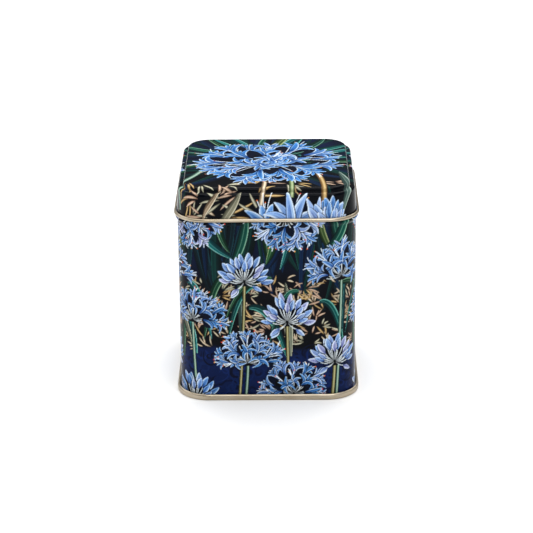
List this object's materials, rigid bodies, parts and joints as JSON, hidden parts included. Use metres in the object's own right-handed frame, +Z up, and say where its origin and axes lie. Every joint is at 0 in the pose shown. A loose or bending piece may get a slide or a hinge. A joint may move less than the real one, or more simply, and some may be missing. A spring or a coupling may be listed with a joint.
{
  "type": "spice tin",
  "caption": "Small square tinplate tin with rounded corners, a printed slip-on lid with a raised panel, and a double-seamed base.",
  "frame": {"origin": "centre of the tin's footprint, on the surface that the base rim stands on", "axes": "+Z up through the middle of the lid; -Y is the front face and +Y the face with the side seam; +X is to the right seen from the front"},
  "size_m": [0.0668, 0.0668, 0.0803],
  "materials": {
    "printed_body": "gloss lacquer over a printed botanical pattern on tinplate, bare tinplate inside",
    "printed_lid": "gloss lacquer over a printed botanical pattern on tinplate, bare tinplate inside and on the curl",
    "bare_tinplate": "warm satin tinplate",
    "lining_compound": "matt cured sealing compound"
  },
  "bodies": {
    "tin": {"body_wall": "printed_body", "base_end": "bare_tinplate", "seam_compound": "lining_compound"},
    "lid": {"lid": "printed_lid"}
  },
  "joints": [
    {"name": "lid_lift", "type": "slide", "parent": "tin", "child": "lid", "axis": [0, 0, 1], "range_m": [0, 0.04]}
  ]
}
